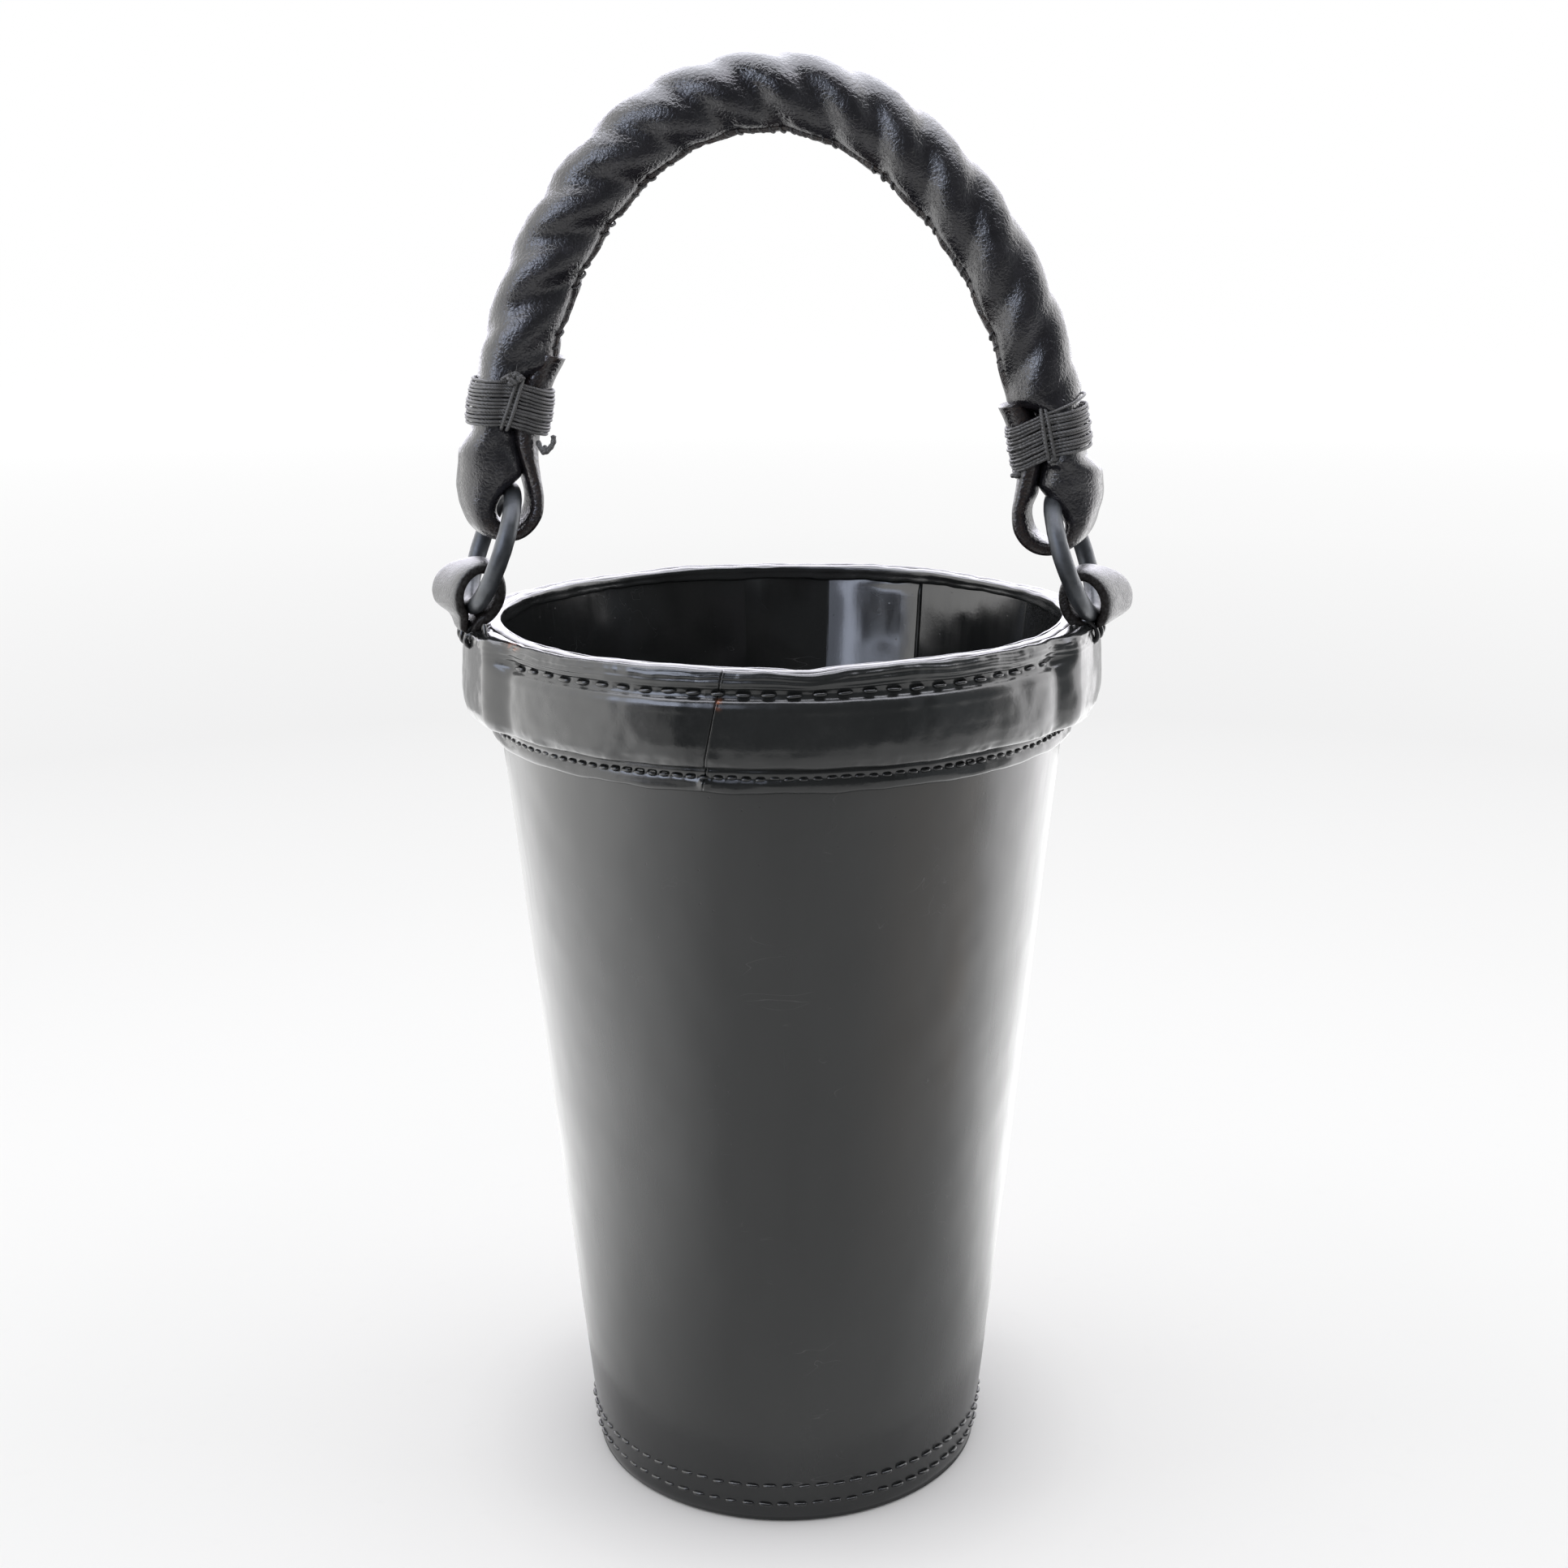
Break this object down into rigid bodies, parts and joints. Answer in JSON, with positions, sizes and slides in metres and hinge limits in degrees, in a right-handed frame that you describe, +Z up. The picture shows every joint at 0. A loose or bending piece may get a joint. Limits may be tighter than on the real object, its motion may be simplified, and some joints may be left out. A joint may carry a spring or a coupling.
{
  "type": "leather fire bucket",
  "caption": "Tall tapered leather bucket with a sewn padded rim band, two leather tabs holding iron rings, and a rope-cored leather bail handle.",
  "frame": {"origin": "centre of the circle that the bucket stands on, at the bottom edge of the wall", "axes": "+Z up through the mouth; the handle spans X and stands a little in front of the middle; -Y is the front"},
  "size_m": [0.2206, 0.2072, 0.4827],
  "materials": {
    "painted_leather": "glossy black painted leather",
    "band_leather": "glossy lumpy black paint over folded leather",
    "lining_leather": "black painted cut edge",
    "tab_leather": "worn black leather, brown cut edge",
    "handle_leather": "satin blue-black pebbled leather",
    "iron": "dark forged iron with worn highlights",
    "thread": "waxed black linen thread",
    "rope": "hemp rope core"
  },
  "bodies": {
    "bucket": {"body_wall": "painted_leather", "side_seam_stitches": "thread", "base_disc": "painted_leather", "base_stitches_lower": "thread", "base_stitches_upper": "thread", "rim_band": "band_leather", "rim_filler": "rope", "rim_lining": "lining_leather", "rim_stitches": "thread", "band_stitches": "thread", "left_tab": "tab_leather", "right_tab": "tab_leather", "left_tab_stitches": "thread", "right_tab_stitches": "thread"},
    "handle": {"handle_cover": "handle_leather", "handle_core": "rope", "handle_seam_stitches": "thread", "left_end_strap": "handle_leather", "right_end_strap": "handle_leather", "left_whipping": "thread", "right_whipping": "thread"},
    "left_ring": {"left_ring": "iron", "left_end_loop": "handle_leather"},
    "right_ring": {"right_ring": "iron", "right_end_loop": "handle_leather"}
  },
  "joints": [
    {"name": "bail_swing", "type": "hinge", "parent": "bucket", "child": "handle", "pos_m": [-0.094, -0.028, 0.3313], "axis": [0.9998, 0, -0.0201], "range_deg": [-48, 55]},
    {"name": "left_ring_turn", "type": "hinge", "parent": "handle", "child": "left_ring", "pos_m": [-0.094, -0.028, 0.3313], "axis": [0.1058, -0.8195, 0.5632], "range_deg": [-23.2, 20.3]},
    {"name": "right_ring_turn", "type": "hinge", "parent": "handle", "child": "right_ring", "pos_m": [0.095, -0.028, 0.3275], "axis": [0.1139, 0.7696, -0.6283], "range_deg": [-23.2, 20.3]}
  ],
  "couplings": [
    {"joint": "left_ring_turn", "follows": "bail_swing", "ratio": -0.418},
    {"joint": "right_ring_turn", "follows": "bail_swing", "ratio": -0.418}
  ]
}
